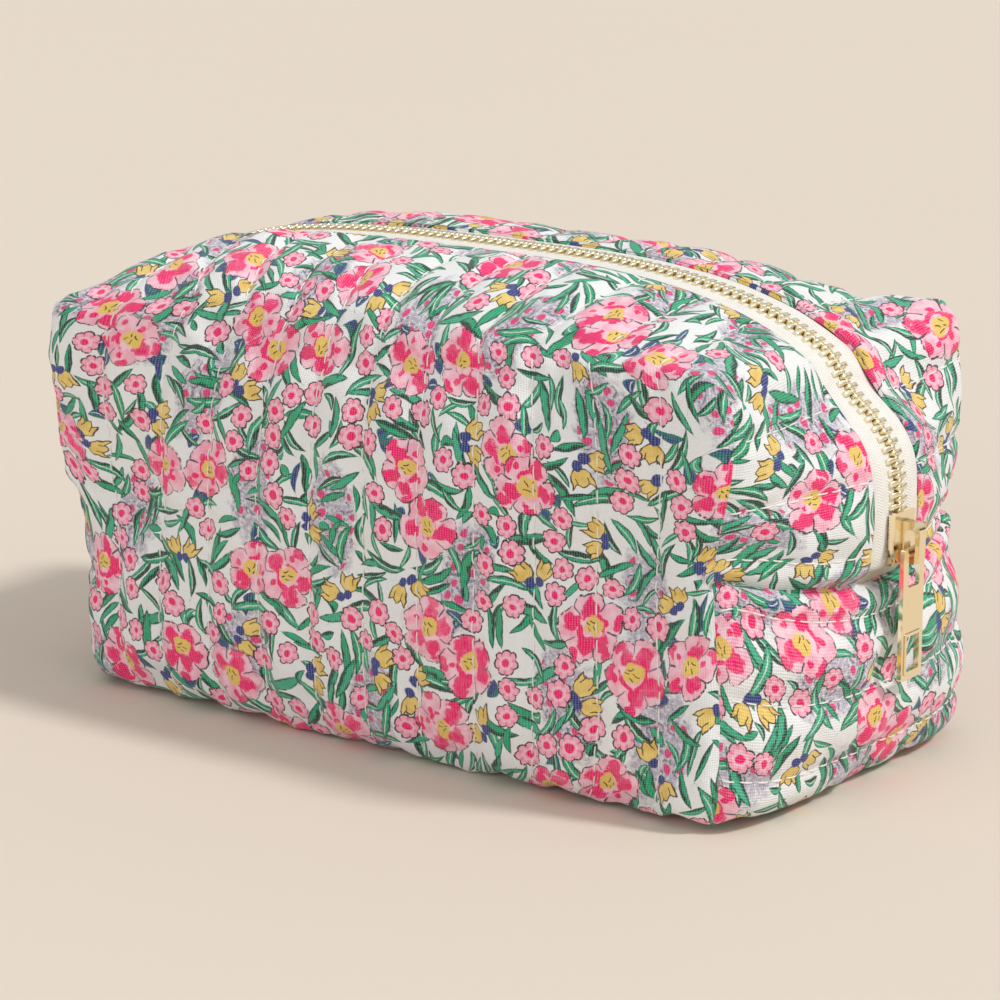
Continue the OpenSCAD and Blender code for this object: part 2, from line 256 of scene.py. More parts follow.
loops_uv = np.array(loops_uv)
region = np.array(region)
flat = lean(skin(cubes, 0.9))
mid = flat[faces].mean(1)
normals = np.cross(flat[faces[:, 1]] - flat[faces[:, 0]], flat[faces[:, 2]] - flat[faces[:, 0]])
wrong = (normals * (mid - [0, 0, SEAM_Z])).sum(1) < 0
faces[wrong] = faces[wrong][:, ::-1]
loops_uv[wrong] = loops_uv[wrong][:, ::-1]


def mesh_object(name, verts, polys, mat=None, uv=None):
    """A smooth mesh from points and uv in mm."""
    me = bpy.data.meshes.new(name)
    me.from_pydata([tuple(v) for v in np.asarray(verts) / 1000], [], [tuple(map(int, f)) for f in polys])
    me.update()
    if uv is not None:
        layer = me.uv_layers.new(name="Cloth")
        layer.data.foreach_set("uv", (np.asarray(uv).reshape(-1, 2) / 1000).ravel())
    ob = bpy.data.objects.new(name, me)
    bpy.context.scene.collection.objects.link(ob)
    if mat:
        me.materials.append(mat)
    me.shade_smooth()
    return ob


def tube(start, rings, n):
    """Faces of a closed tube: rings of n points each, from point start on, and a cap at both ends."""
    out = []
    for r in range(rings - 1):
        for j in range(n):
            a, b = start + r * n + j, start + r * n + (j + 1) % n
            out.append([a, b, b + n, a + n])
    last = start + (rings - 1) * n
    return out + [[start + j for j in range(n)][::-1], [last + j for j in range(n)]]


def apply_all(ob):
    """Makes what ob's modifiers do part of its mesh."""
    dg = bpy.context.evaluated_depsgraph_get()
    me = bpy.data.meshes.new_from_object(ob.evaluated_get(dg), preserve_all_data_layers=True, depsgraph=dg)
    old = ob.data
    ob.modifiers.clear()
    ob.data = me
    bpy.data.meshes.remove(old)


def close(ob):
    """Fills the open ends of ob and turns all its faces outward."""
    bm = bmesh.new()
    bm.from_mesh(ob.data)
    bmesh.ops.holes_fill(bm, edges=[e for e in bm.edges if e.is_boundary], sides=0)
    bmesh.ops.recalc_face_normals(bm, faces=bm.faces)
    bm.to_mesh(ob.data)
    bm.free()


# ---- smooth seeded noise
lattice = np.random.default_rng(5).random((64, 64))


def noise2(x, y):
    xi, yi = np.floor(x).astype(int), np.floor(y).astype(int)
    fx, fy = x - xi, y - yi
    fx, fy = fx * fx * (3 - 2 * fx), fy * fy * (3 - 2 * fy)
    g = lambda a, b: lattice[a % 64, b % 64]
    top = g(xi, yi) * (1 - fx) + g(xi + 1, yi) * fx
    bot = g(xi, yi + 1) * (1 - fx) + g(xi + 1, yi + 1) * fx
    return (top * (1 - fy) + bot * fy) * 2 - 1


def gather(n, index, values):
    """Sums over n points: each row of index adds its value to all the points it names."""
    out = np.zeros((n, *np.shape(values)[1:]))
    for k in range(index.shape[1]):
        np.add.at(out, index[:, k], values)
    return out


def point_normals(p, f):
    return unit(gather(len(p), f, np.cross(p[f[:, 2]] - p[f[:, 0]], p[f[:, 3]] - p[f[:, 1]])))


# ---- padded quilt: cloth swells between its stitch lines
base = flat.copy()
held = np.zeros(len(base), bool)
held[list(stitched)] = True
held[list(seamed)] = True
seams = np.zeros(len(base), bool)
seams[list(seamed)] = True
edge_at = across(cubes[:, 0], np.maximum(cubes[:, 2], 0), MOUTH)
lips = (np.abs(np.abs(cubes[:, 1]) - edge_at) < 1e-4) & (cubes[:, 2] >= -1e-9)
pad = mesh_object("quilt_sim", base, faces)
group = pad.vertex_groups.new(name="held")
edge_pts = [i for i in range(len(base)) if held[i] or lips[i] or base[i, 2] < 0.9]
group.add(edge_pts, 1.0, "REPLACE")
cl = pad.modifiers.new("Cloth", "CLOTH")
cs = cl.settings
cs.quality = 6
cs.mass = 0.15
cs.vertex_group_mass = "held"
cs.tension_stiffness = cs.compression_stiffness = 12
cs.shear_stiffness = 4
cs.bending_stiffness = 0.25
cs.tension_damping = cs.compression_damping = 8
cs.shrink_min = -0.045
cs.use_pressure = True
cs.uniform_pressure_force = 3.0
cs.effector_weights.gravity = 0
cl.collision_settings.use_collision = False
sc = bpy.context.scene
sc.frame_start, sc.frame_end = 1, 24
cl.point_cache.frame_start, cl.point_cache.frame_end = 1, 24
for fr in range(1, 23):
    sc.frame_set(fr)
dg = bpy.context.evaluated_depsgraph_get()
ev = pad.evaluated_get(dg).data
got = np.zeros(len(base) * 3)
ev.vertices.foreach_get("co", got)
move = got.reshape(-1, 3) * 1000 - base
size = np.linalg.norm(move, axis=1, keepdims=True)
move *= np.minimum(1, 2.6 / np.maximum(size, 1e-6))
base = base + move
sc.frame_set(1)
bpy.data.objects.remove(pad)


# ---- finer quads
def finer(p, f, uv, extra, lines, curved=True):
    """One step of subdivision of quads: points, faces, corner uv, point values and the vertex lines on it."""
    e = np.sort(np.stack([f, np.roll(f, -1, 1)], -1).reshape(-1, 2), 1)
    ue, inv, cnt = np.unique(e, axis=0, return_inverse=True, return_counts=True)
    inv = inv.reshape(-1, 4)
    nv, ne = len(p), len(ue)
    centre = p[f].mean(1)
    middle = p[ue].mean(1)
    rim = cnt == 1
    pts, mids = p, middle
    if curved:
        mids = np.where(rim[:, None], middle, (middle * 2 + gather(ne, inv, centre)) / 4)
        fs, val = gather(nv, f, centre), gather(nv, f, np.ones(len(f)))
        ms, ev = gather(nv, ue, middle), gather(nv, ue, np.ones(ne))
        n = np.maximum(val, 1)[:, None]
        pts = (fs / n + 2 * ms / np.maximum(ev, 1)[:, None] + (n - 3) * p) / n
        rs, rc = np.zeros((nv, 3)), np.zeros(nv)
        for k in range(2):
            np.add.at(rs, ue[rim, k], p[ue[rim, 1 - k]])
            np.add.at(rc, ue[rim, k], 1)
        edge = rc > 0
        pts[edge] = np.where(rc[edge, None] == 2, (6 * p[edge] + rs[edge]) / 8, p[edge])
    newp = np.concatenate([pts, mids, centre])
    x = {k: np.concatenate([v, v[ue].mean(1), v[f].mean(1)]) for k, v in extra.items()}
    m = nv + ne + np.arange(len(f))
    nf, nuv = [], []
    mid_uv = (uv + np.roll(uv, -1, 1)) / 2
    cen_uv = uv.mean(1)
    for k in range(4):
        nf.append(np.stack([f[:, k], nv + inv[:, k], m, nv + inv[:, k - 1]], 1))
        nuv.append(np.stack([uv[:, k], mid_uv[:, k], cen_uv, mid_uv[:, k - 1]], 1))
    look = {(a, b): i for i, (a, b) in enumerate(ue.tolist())}
    out = []
    for ids, tag in lines:
        row = [ids[0]]
        for a, b in zip(ids[:-1], ids[1:], strict=True):
            row += [nv + look[(min(a, b), max(a, b))], b]
        out.append((row, tag))
    nf = np.stack(nf, 1).reshape(-1, 4)
    nuv = np.stack(nuv, 1).reshape(-1, 4, 2)
    return newp, nf, nuv, x, out


values = {
    "stitch": held.astype(float) * (~seams),
    "seam": seams.astype(float),
    "end": ((np.abs(cubes[:, 0]) > 0.999) & (np.abs(cubes[:, 2]) < 1e-6)).astype(float),
    "mouth": lips.astype(float),
    "rest": flat,
    "cube": cubes,
}
p1, f1, uv1, x1, lines1 = finer(base, faces, loops_uv, values, chains)


# ---- creases, grooves and puckers
def pinch(p):
    """The end seams draw the middle of each end in a little more."""
    q = np.array(p, float)
    k = 3.0 * np.exp(-(((q[:, 2] - 55.5) / 6.5) ** 2)) * np.clip(1 - (q[:, 1] / 60) ** 2, 0, 1)
    q[:, 0] -= np.sign(q[:, 0]) * k * (np.abs(q[:, 0]) > 100)
    return q


def crease(p, f, x):
    n = point_normals(p, f)
    q = p.copy()
    st, se, en = x["stitch"], x["seam"], x["end"]
    X, Y, Z = p.T
    ends = smooth(95, 118, np.abs(X))
    seam_run = np.where(ends > 0.5, Y, Z + 0 * Y)
    top = smooth(100, 122, Z) * (1 - ends)
    seam_run = np.where(top > 0.5, Y, seam_run)
    cross = np.where(ends > 0.5, Z, X)
    puck = noise2(seam_run / 3.1 + 40, cross / 8.5 + 17) * 0.34
    puck = puck + noise2(seam_run / 6.5 + 3, cross / 13 + 7) * 0.34
    lift = -0.95 * st**2.2 + puck * (0.3 + 0.7 * st**0.5)
    # Box seams: a pinched line with gathers that fade away from it
    gathers = noise2(Z / 4.4 + 11, np.sign(X) * 9 + Y / 60)
    cx, cy, cz = np.abs(x["cube"]).T
    gap = np.maximum((1 - cx) * HALF_U, (1 - cy) * HALF_WID)
    near = np.exp(-((gap / 8) ** 2)) * smooth(1.0, 0.9, cz)
    ear = 1 + 1.7 * smooth(0.66, 0.90, cz) * smooth(1.0, 0.95, cz)
    lift = lift + near * gathers * 0.5 - 0.9 * se**2.5 * (en < 0.5) * ear
    # Broad slack of the stuffed cloth
    calm = 1 - 0.85 * np.exp(-(((np.abs(Y) - MOUTH) / 9) ** 2)) * (Z > 60)
    lift = lift + 0.5 * noise2(X / 26 + 5, (Z + Y) / 22 + 9)
    lift = (lift + 0.25 * noise2(X / 9 + 25, (Z - Y) / 11 + 2)) * calm
    # Fold at each end seam: the lower cloth stands over the upper one
    lift = lift - 3.1 * en**5
    lift = lift + 1.3 * ends * np.exp(-(((Z - SEAM_Z + 2.6) / 2.2) ** 2))
    lift = lift - 0.8 * ends * np.exp(-(((Z - SEAM_Z - 2.8) / 2.6) ** 2))
    floor = smooth(0.0, 5.0, Z)
    q = q + n * (lift * (0.15 + 0.85 * floor))[:, None]
    # The end seams sag between the box seams
    sag = (-2.4 + 9.5 * (np.abs(Y) / 58) ** 2.2) * np.exp(-(((Z - SEAM_Z) / 20) ** 2))
    q[:, 2] += sag * smooth(104, 116, np.abs(X))
    q = pinch(q)
    q[:, 2] = np.maximum(q[:, 2], 0.02)
    return q


p1 = crease(p1, f1, x1)
p2, f2, uv2, x2, lines2 = finer(p1, f1, uv1, x1, lines1)
parent2 = np.repeat(np.arange(len(f1)), 4)
reg2 = np.repeat(np.repeat(region, 4), 4)
n2 = point_normals(p2, f2)
p2[:, 2] = np.maximum(p2[:, 2], 0.02)


def weight(p):
    """How far a point follows its half of the zip: 0 stays with the bag, 1 goes with the half."""
    p = np.asarray(p, float)
    X, Y, Z = p[:, 0], np.abs(p[:, 1]), p[:, 2]
    right, left = smooth(HINGE_Z, 90, Z), smooth(80, 115, Z)
    side = left + (right - left) * smooth(-110, -70, X)
    tall = smooth(HINGE_Z, 118, Z)
    s = side + (tall - side) * smooth(30, 60, Y)
    return s * (1 - 0.55 * smooth(12, 60, Y))


def bend(ob, half, rest=None):
    """Bakes ob's transform into its mesh and works out weight at its rest points, which is not kept; ob does
    not follow a half of the zip, and half is not used.
    """
    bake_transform(ob)
    if rest is None:
        rest = np.array([v.co for v in ob.data.vertices]) * 1000
    weight(rest).astype(np.float32)


HALVES = {"front": "front_zip_half", "rear": "rear_zip_half"}


# ---- the print: where each motif lies on the flat cloth
CELL_AT = uv1.mean(1)
TALL = LEN_DOWN + LEN_UP
FRONT_EDGE, REAR_EDGE = TALL + LEN_TOP, -G - TALL - LEN_TOP
PLOTS = [(-HALF_U, HALF_U, REAR_EDGE, FRONT_EDGE)]
for end in (1, -1):
    for lo, hi, reach in ((TALL, FRONT_EDGE, LEN_UP), (REAR_EDGE, -G - TALL, LEN_UP), (-G, 0, LEN_DOWN)):
        PLOTS.append((*sorted((end * HALF_U, end * (HALF_U + reach))), lo, hi))
LEAVES = ["leaf_a", "leaf_b", "leaf_c", "leaf_d"]
SLOTS = ["spire_a", *LEAVES, "bud_a", "bud_b", "posy_a", "posy_b", "bloom_a", "bloom_b"]
owner = {k: np.full(len(f1), -1) for k in SLOTS}
motifs = []
ink = np.random.default_rng(29)


def on_cloth(c, margin=5.0):
    return any(a - margin < c[0] < b + margin and lo - margin < c[1] < hi + margin for a, b, lo, hi in PLOTS)


def put(slots, c, turn, hx, hy, sx=1.0, sy=1.0, disc=False, seed=None):
    """Places one motif on the first of slots where its cells are free."""
    d = CELL_AT - c
    ca, sa = math.cos(turn), math.sin(turn)
    x, y = d[:, 0] * ca + d[:, 1] * sa, -d[:, 0] * sa + d[:, 1] * ca
    hit = (np.abs(x) < hx + 1.2) & (np.abs(y) < hy + 1.2)
    if disc:
        hit &= np.hypot(x, y) < hx + 1.5
    cells = np.nonzero(hit)[0]
    for k in slots:
        if not (owner[k][cells] >= 0).any():
            owner[k][cells] = len(motifs)
            motifs.append((c[0], c[1], ca, sa, sx, sy, ink.random() if seed is None else seed))
            return True
    return False


def clear(c, spots, r):
    return not spots or np.min(np.hypot(*(np.array(spots) - c).T)) > r


def anywhere(n):
    for _ in range(n):
        c = np.array([ink.uniform(-HALF_U - 66, HALF_U + 66), ink.uniform(REAR_EDGE - 5, FRONT_EDGE + 5)])
        if on_cloth(c):
            yield c


# Where the larger motifs lie on the two faces and the top that were seen, in mm of flat cloth
BLOOM_AT = [
    (-96, 121), (-87, 111), (-87, 138), (-156, 127), (-111, 74), (-102, 37), (-94, 10), (-66, 20), (-49, 16),
    (-73, 74), (-56, 76), (-64, 61), (-60, 142), (-49, 121), (-39, 113), (-20, 115), (-39, 49), (-26, 49),
    (16, 86), (24, 72), (14, 115), (33, 117), (22, 157), (24, 43), (37, 35), (28, 16), (49, 96),
    (56, 88), (52, 76), (75, 50), (88, 39), (106, 41), (68, 142), (75, 135), (83, 145), (94, 128),
    (152, 150), (144, 166), (113, 96), (117, -38), (127, -26), (131, -1), (64, 3), (81, 8), (60, -294),
    (121, -295), (108, -294), (119, -258),
]
TULIP_AT = [
    (-108, 102), (-104, 76), (-66, 45), (-1, 104), (-96, 133), (-62, 127), (-24, 125), (-7, 135), (35, 145),
    (-5, 45), (-22, 22), (3, 29), (16, 25), (16, 57), (58, 59), (45, 16), (71, 127), (94, 109),
    (96, 98), (104, 55), (108, 69), (119, 144), (139, 140), (139, -10), (141, -46), (156, -60), (154, -23),
    (79, -295),
]
SPIRE_AT = [
    (-81, 121), (-60, 98), (-58, 82), (-35, 96), (-87, 55), (-10, 69), (-1, 86), (14, 127), (35, 101),
    (37, 60), (47, 130), (-45, 25), (3, 16), (79, 107), (77, 80), (68, 30), (96, 20), (158, 132),
    (106, -271), (119, -10), (160, -1), (-24, 84),
]
blooms, posies, buds, spires, leaves, centres = [], [], [], [], [], []
TURN = 6.28  # a full turn, in round numbers


def heading(turn):
    return np.array([math.cos(turn), math.sin(turn)])


def add_bloom(c, size, reach):
    turn, squash = ink.uniform(0, TURN), ink.uniform(0.86, 1.0)
    if put(["bloom_a", "bloom_b"], c, turn, reach * size, reach * size, size, size * squash, True):
        blooms.append(c)


for c in np.array(BLOOM_AT, float):
    size = ink.uniform(0.93, 1.06)
    add_bloom(c, size, 10.6)
for c in anywhere(9000):
    if not clear(c, centres, 36) or not clear(c, BLOOM_AT, 38):
        continue
    centres.append(c)
    head = ink.uniform(0, 2 * math.pi)
    at = c
    for k in range(ink.choice([2, 3, 3, 4])):
        if clear(at, blooms, 15.2) and on_cloth(at, 7):
            size = ink.uniform(0.95, 1.08)
            add_bloom(at, size, 10.8)
        head += ink.choice([-1, 1]) * ink.uniform(0.5, 1.35)
        at = at + 17.6 * heading(head)
fans = []
for c in list(np.array(TULIP_AT, float)) + list(anywhere(7000)):
    if len(fans) < len(TULIP_AT) or (clear(c, blooms, 13.5) and clear(c, fans, 25)):
        fans.append(c)
        head = ink.uniform(0, TURN)
        for k in range(ink.choice([3, 4, 5])):
            turn = head + k * ink.uniform(0.95, 1.3)
            at = c + 6.0 * heading(turn)
            if clear(at, blooms, 10.4) and clear(at, buds, 5.2):
                if put(["bud_a", "bud_b"], at, turn - math.pi / 2, 3.9, 5.7, 1.16, 1.16):
                    buds.append(at)
for i, c in enumerate(list(np.array(SPIRE_AT, float)) + list(anywhere(5000))):
    if i < len(SPIRE_AT) or (clear(c, blooms, 13.5) and clear(c, spires, 25)):
        if put(["spire_a"], c, ink.normal(0, 0.4), 9.6, 16.6, 1.46, 1.46):
            spires.append(c)


def sparse(c):
    """The print is looser on the strips beside the zip and on the ends."""
    return (abs(c[0]) > HALF_U or not -G - TALL < c[1] < TALL) and ink.random() < 0.55


for b in list(blooms) * 4:
    turn = ink.uniform(0, 2 * math.pi)
    at = b + ink.uniform(12.6, 14.5) * heading(turn)
    head = turn + ink.choice([-1, 1]) * 1.4
    for k in range(ink.integers(2, 6)):
        if sparse(at):
            at = at + 7.0 * heading(head)
            continue
        if clear(at, blooms, 11.6) and clear(at, posies, 6.5) and clear(at, buds, 5.6) and on_cloth(at):
            size = ink.uniform(0.88, 1.08)
            if put(["posy_a", "posy_b"], at, ink.uniform(0, TURN), 3.9, 3.9, size, size, True):
                posies.append(at)
        head += ink.uniform(-0.9, 0.9)
        at = at + 7.4 * heading(head)
for b in blooms:
    for k in range(ink.choice([2, 3, 3])):
        turn = ink.uniform(0, 2 * math.pi)
        at = b + ink.uniform(9.0, 10.4) * heading(turn)
        if clear(at, posies, 3.6) and clear(at, buds, 3.6) and on_cloth(at):
            half, w = ink.uniform(2.2, 3.0), ink.uniform(1.7, 2.3)
            turn, seed = ink.uniform(0, TURN), ink.choice([0.3, 0.86, 0.92, 0.97])
            put(LEAVES[:2], at, turn, half, w * 1.5, half, w, seed=seed)
for c in anywhere(16000):
    head = ink.uniform(0, TURN)
    side = ink.uniform(-1, 1)
    group = []
    for k in range(ink.choice([1, 2, 3, 3, 4])):
        turn = head + side * 0.28 * k
        half = ink.uniform(4.2, 7.8)
        at = c + (half - 2) * heading(turn) + 3.3 * k * np.array([-math.sin(turn), math.cos(turn)])
        beside_flowers = clear(at, blooms, 9.8) and clear(at, posies, 4.4) and clear(at, buds, 4.5)
        if beside_flowers and clear(at, leaves, 3.25) and on_cloth(at):
            w = half * ink.uniform(0.19, 0.265)
            seed = ink.random() * (0.79 if ink.random() < 0.93 else 1)
            if put(LEAVES, at, turn, half, w * 1.8, half, w, seed=seed):
                group.append(at)
    leaves += group
for c in anywhere(9000):
    if clear(c, blooms, 10.9) and clear(c, posies, 4.5) and clear(c, buds, 4.0) and clear(c, leaves, 2.8):
        fat = ink.random() < 0.33
        long, wide = ((1.8, 2.6), (1.4, 1.9)) if fat else ((2.0, 3.4), (0.95, 1.3))
        half, w = ink.uniform(*long), ink.uniform(*wide)
        seed = ink.uniform(0.55, 1.0) if fat else ink.random() * 0.79
        if put(LEAVES, c, ink.uniform(0, TURN), half, w * 1.6, half, w, seed=seed):
            leaves.append(c)
print("blooms, posies, buds, spires, leaves:", *[len(k) for k in (blooms, posies, buds, spires, leaves)])
MOTIF = np.array(motifs)


def ink_layers(me, rows, uv):
    """Stores each motif's own coordinates on the corners of me's faces; rows names the cloth's faces."""
    for k in SLOTS:
        own = owner[k][parent2[rows]]
        c = np.full((len(rows), 4, 3), 99.0)
        c[..., 2] = 0
        on = own >= 0
        m = MOTIF[own[on]]
        d = uv[on] - m[:, None, 0:2]
        ca, sa = m[:, None, 2], m[:, None, 3]
        c[on, :, 0] = (d[..., 0] * ca + d[..., 1] * sa) / m[:, None, 4]
        c[on, :, 1] = (-d[..., 0] * sa + d[..., 1] * ca) / m[:, None, 5]
        c[on, :, 2] = m[:, None, 6]
        a = me.attributes.new(k, "FLOAT_VECTOR", "CORNER")
        a.data.foreach_set("vector", c.ravel().astype(np.float32))


# ---- shader helpers
def srgb(r, g, b):
    lin = lambda c: c / 12.92 if c <= 0.04045 else ((c + 0.055) / 1.055) ** 2.4
    return (lin(r), lin(g), lin(b), 1.0)


class V:
    """A number socket with arithmetic that adds Math nodes."""

    tree = None

    def __init__(self, out):
        self.out = out

    def __add__(self, o):
        return op("ADD", self, o)

    def __sub__(self, o):
        return op("SUBTRACT", self, o)

    def __mul__(self, o):
        return op("MULTIPLY", self, o)

    def __truediv__(self, o):
        return op("DIVIDE", self, o)

    __radd__ = __add__
    __rmul__ = __mul__

    def __rsub__(self, o):
        return op("SUBTRACT", o, self)


def node(kind):
    return V.tree.nodes.new("ShaderNode" + kind)


def link(a, b):
    V.tree.links.new(a, b)


def op(kind, *args, clamp=False):
    n = node("Math")
    n.operation = kind
    n.use_clamp = clamp
    for i, a in enumerate(args):
        if isinstance(a, V):
            link(a.out, n.inputs[i])
        else:
            n.inputs[i].default_value = float(a)
    return V(n.outputs[0])


def soft(x, k, c=0.0):
    """x * k + c, kept between 0 and 1."""
    return op("MULTIPLY_ADD", x, k, c, clamp=True)


def radius(x, y):
    return op("SQRT", x * x + y * y)


def near(x, w, k=5.0):
    """1 where x is within w of nought."""
    return op("MULTIPLY_ADD", op("ABSOLUTE", x), -k, w * k + 0.5, clamp=True)


def mix(fac, a, b, kind="MIX"):
    n = node("Mix")
    n.data_type = "RGBA"
    n.blend_type = kind
    n.clamp_factor = True
    for sock, v in ((n.inputs[0], fac), (n.inputs[6], a), (n.inputs[7], b)):
        if isinstance(v, V):
            link(v.out, sock)
        elif hasattr(v, "is_output"):
            link(v, sock)
        else:
            sock.default_value = v
    return n.outputs[2]


def motif_group(name, build):
    g = bpy.data.node_groups.new(name, "ShaderNodeTree")
    for label, kind in (("At", "Vector"), ("Grain", "Float"), ("Fine", "Float"), ("Under", "Color")):
        g.interface.new_socket(label, in_out="INPUT", socket_type="NodeSocket" + kind)
    g.interface.new_socket("Color", in_out="OUTPUT", socket_type="NodeSocketColor")
    V.tree = g
    gi = g.nodes.new("NodeGroupInput")
    go = g.nodes.new("NodeGroupOutput")
    sep = node("SeparateXYZ")
    link(gi.outputs["At"], sep.inputs[0])
    place = [V(o) for o in sep.outputs]
    out = build(*place, V(gi.outputs["Grain"]), V(gi.outputs["Fine"]), gi.outputs["Under"])
    link(out, go.inputs["Color"])
    return g


def pair(x, y):
    """The vector (x, y, 0)."""
    c = node("CombineXYZ")
    link(x.out, c.inputs[0])
    link(y.out, c.inputs[1])
    return c.outputs[0]


def random3(x, y):
    """Three random numbers for each whole x and y."""
    n = node("TexWhiteNoise")
    n.noise_dimensions = "2D"
    link(pair(x, y), n.inputs["Vector"])
    sep = node("SeparateColor")
    link(n.outputs["Color"], sep.inputs[0])
    return [V(o) for o in sep.outputs]


PINK, BLUSH, HOT = srgb(0.985, 0.70, 0.79), srgb(0.995, 0.83, 0.885), srgb(0.97, 0.07, 0.44)
PLUM, GOLD_INK, OCHRE = srgb(0.23, 0.12, 0.18), srgb(0.94, 0.80, 0.40), srgb(0.30, 0.21, 0.09)
NAVY, TEAL = srgb(0.20, 0.25, 0.53), srgb(0.12, 0.45, 0.45)
EMERALD, FOREST = srgb(0.10, 0.65, 0.46), srgb(0.05, 0.27, 0.215)
JADE = srgb(0.22, 0.70, 0.54)
LILAC, SMOKE = srgb(0.74, 0.71, 0.79), srgb(0.40, 0.37, 0.42)


def bloom(x, y, s, grain, fine, under):
    r = radius(x, y)
    t = op("ARCTAN2", y, x) * 0.79577 + 5.0
    fl = op("MODULO", op("FLOOR", t), 5.0)
    pa = op("FRACT", t) - 0.5
    lobe = op("SQRT", op("ABSOLUTE", op("SINE", t * math.pi)))
    h1, h2, h3 = random3(fl, s * 91.0)
    k1, k2, k3 = random3(fl + 7.0, s * 57.0)
    R = lobe * 2.0 + h3 * 1.6 + (grain - 0.5) * 2.0 + 6.7
    col = mix(soft(grain, 3.0, -1.0), PINK, BLUSH)
    arc = pa * r * 1.2566
    # Some petals are brushed with the strong pink out to the rim, the others only at the throat
    strong = op("GREATER_THAN", k3, 0.42)
    e1 = (r - 6.3 + h1 * 1.8) / (strong * 1.5 + 1.1)
    e2 = (arc - (h2 - 0.5) * 2.6) / (strong * 1.5 + 1.0)
    hot = soft(e1 * e1 + e2 * e2 + (grain - 0.5) * 2.4 + (fine - 0.5) * 0.6, -2.4, 3.0)
    e3 = (r - R + 1.2) / 1.5
    e4 = (arc + (k2 - 0.5) * 4.5) / 2.1
    tip = soft(e3 * e3 + e4 * e4 + (grain - 0.5) * 1.6, -2.6, 3.0)
    hot = op("MAXIMUM", hot, tip * op("GREATER_THAN", k1, 0.4))
    e5 = (r - 3.5) / 0.9
    hot = op("MAXIMUM", hot, soft(e5 * e5 + (grain - 0.5) * 4.0, -2.0, 1.6) * op("GREATER_THAN", h3, 0.35))
    col = mix(hot, col, HOT)
    notch = op("ABSOLUTE", op("SINE", t * math.pi)) * r * 0.2
    col = mix(near(notch, 0.12, 8) * soft(r, 2.0, -9.5) * op("GREATER_THAN", h2, 0.35), col, PLUM)
    col = mix(near(r - R + 0.1, 0.36, 5) * soft(fine, 8.0, -2.7), col, PLUM)
    # Yellow heart with brushed strokes
    ex, ey = (x - 0.8) / 2.6, (y + 0.2) / 3.0
    col = mix(soft(ex * ex + ey * ey + (grain - 0.5) * 2.2, -3.0, 3.3), col, GOLD_INK)
    strokes = ((0.1, -0.9, 0.8, 0.5), (1.5, 0.3, 0.9, -0.3), (0.4, 1.4, 0.55, 0.1), (-0.9, 0.5, 0.5, 0.7))
    for cx, cy, cl, tilt in strokes:
        u = x - cx - (y - cy) * tilt
        bow = (y - cy) * (y - cy) * 0.25
        col = mix(near(u - bow, 0.17, 7) * near(y - cy, cl, 4), col, OCHRE)
    return mix(soft(R - r, 5.0, 0.5), under, col)


def posy(x, y, s, grain, fine, under):
    r = radius(x, y)
    lobe = op("POWER", op("ABSOLUTE", op("SINE", op("ARCTAN2", y, x) * 3.5)), 0.6)
    R = lobe * 0.75 + (grain - 0.5) * 0.7 + 2.85
    col = mix(near(r - 1.75, 0.35, 3) * 0.75, PINK, BLUSH)
    col = mix((1.0 - lobe) * near(r - 2.3, 0.5, 4) * 0.7, col, HOT)
    col = mix(soft(r + (grain - 0.5) * 0.9, -5.0, 6.0), col, HOT)
    col = mix(near(r - R + 0.05, 0.26, 6) * soft(fine, 8.0, -2.2), col, PLUM)
    return mix(soft(R - r, 6.0, 1.4), under, col)


def bud(x, y, s, grain, fine, under):
    zig = op("PINGPONG", x / 1.2 + 5.0, 1.0)
    f = op("MAXIMUM", op("ABSOLUTE", x) - 2.45 - y * 0.06, y - 1.55 - zig * 1.1)
    f = op("MAXIMUM", f, x * x * 0.36 - y - 2.8) + (grain - 0.5) * 0.3
    col = mix(soft(grain, 2.0, -0.6), srgb(0.965, 0.85, 0.50), srgb(0.88, 0.73, 0.33))
    split = op("ABSOLUTE", op("ABSOLUTE", x) - 1.15 + y * 0.1)
    col = mix(soft(split, -9.0, 1.6) * near(y - 1.0, 1.3, 4), col, OCHRE)
    col = mix(near(f + 0.15, 0.24, 7) * soft(fine, 8.0, -1.3), col, OCHRE)
    out = mix(soft(f, -6.0, 0.4), under, col)
    cap = radius(x, y + 3.2)
    return mix(soft(cap + (grain - 0.5) * 0.7, -4.0, 5.6), out, NAVY)


def leaf(x, y, s, grain, fine, under):
    w = y + (x * x - 0.55) * op("SINE", s * 37.0) * 1.25
    half = op("POWER", op("MAXIMUM", 1.0 - x * x, 0.0), 0.8)
    f = op("ABSOLUTE", w) - half
    # Bright blade, dark along one side and in streaks, sometimes with a pale vein
    dark = soft(w + (grain - 0.5) * 1.6 + op("SINE", s * 40.0) * 0.35, 3.0, -0.35)
    dark = op("MAXIMUM", dark, near(f + 0.14, 0.17, 6) * soft(fine, 6.0, -1.9))
    green = mix(dark, mix(soft(op("SINE", s * 90.0), 1.0, 0.3), EMERALD, JADE), FOREST)
    blue = mix(dark, NAVY, TEAL)
    col = mix(op("GREATER_THAN", s, 0.8), green, blue)
    vein = near(w + 0.1 - (fine - 0.5) * 0.3, 0.1, 9) * near(x - 0.05, 0.6, 5)
    vein = vein * op("GREATER_THAN", op("SINE", s * 70.0), 0.2)
    col = mix(vein, col, srgb(0.84, 0.92, 0.86))
    return mix(soft(f + (grain - 0.5) * 0.5, -5.0, 0.2), under, col)


